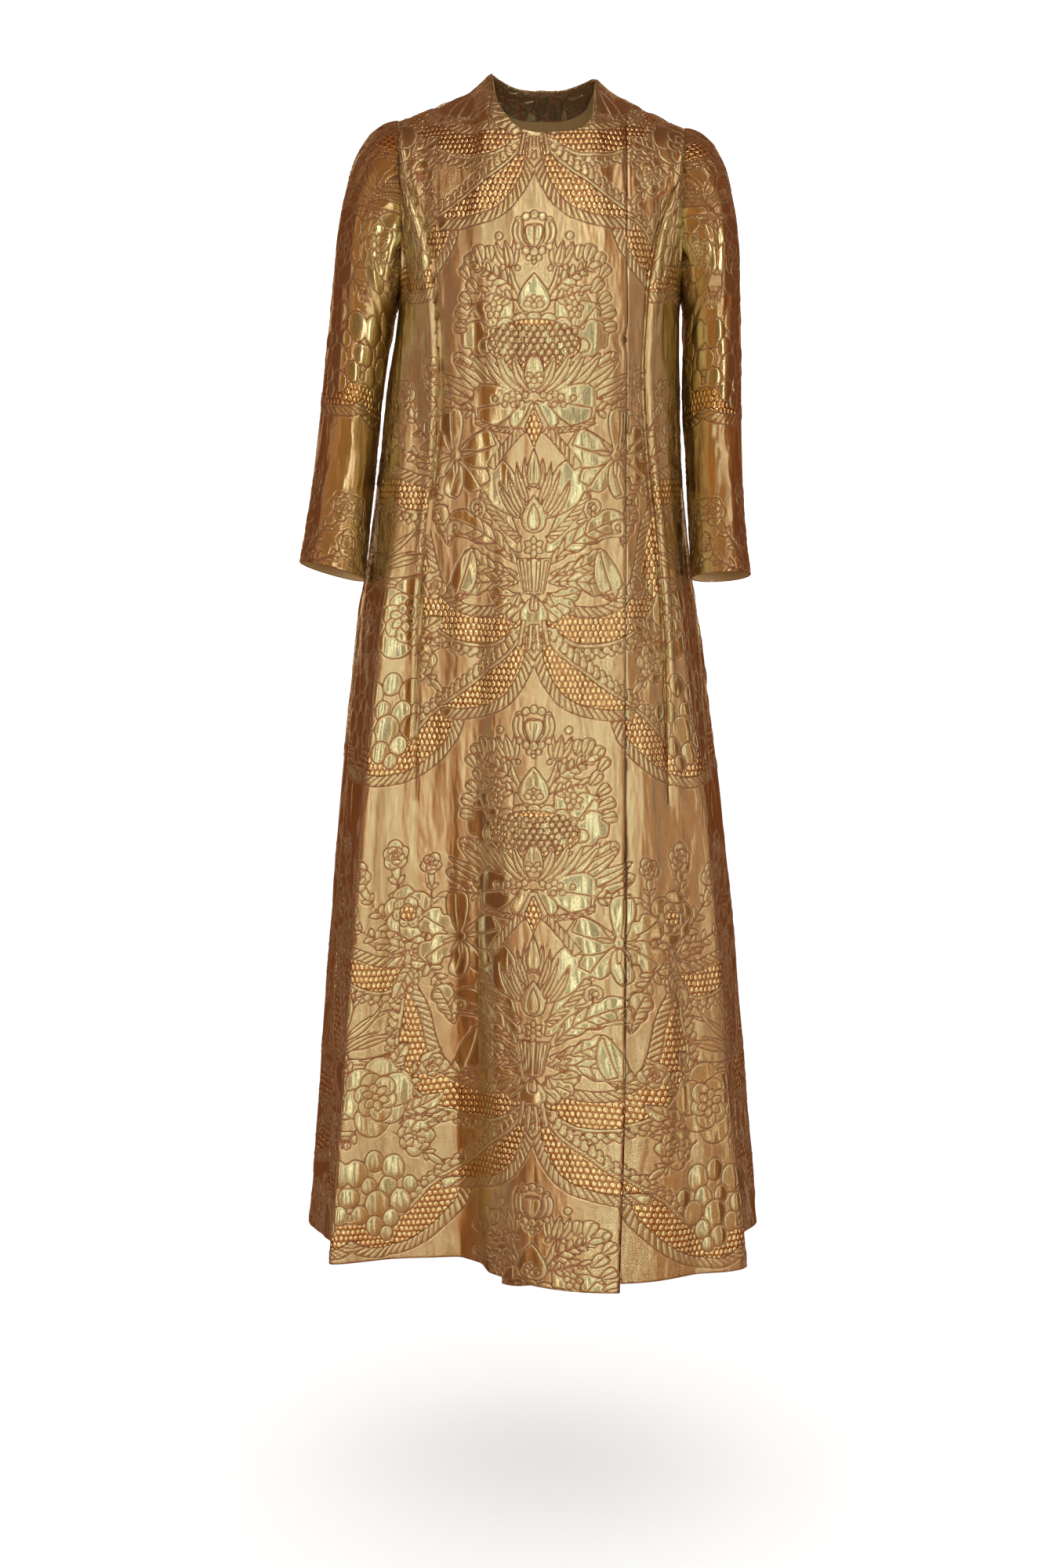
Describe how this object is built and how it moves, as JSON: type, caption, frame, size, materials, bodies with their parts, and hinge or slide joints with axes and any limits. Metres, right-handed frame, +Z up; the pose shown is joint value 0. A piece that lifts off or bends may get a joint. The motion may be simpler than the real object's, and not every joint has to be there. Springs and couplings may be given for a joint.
{
  "type": "evening coat",
  "caption": "Ankle-length flared evening coat in gold brocade, with a round neck, a wide front lap held by a hook and eye, and three-quarter set-in sleeves.",
  "frame": {"origin": "midway between the neck ends of the two shoulder seams, where the wearer's shoulders carry the coat", "axes": "+Z up, +X towards the wearer's left, and the front faces -Y"},
  "size_m": [0.4992, 0.3929, 1.2404],
  "materials": {
    "brocade": "gold metallic brocade, satin",
    "eye_wire": "bright",
    "hook_wire": "dark lacquered"
  },
  "bodies": {
    "root": {"front_right": "brocade", "front_left": "brocade", "back": "brocade", "sleeve_right": "brocade", "sleeve_left": "brocade", "eye": "eye_wire", "hook": "hook_wire"}
  },
  "joints": []
}
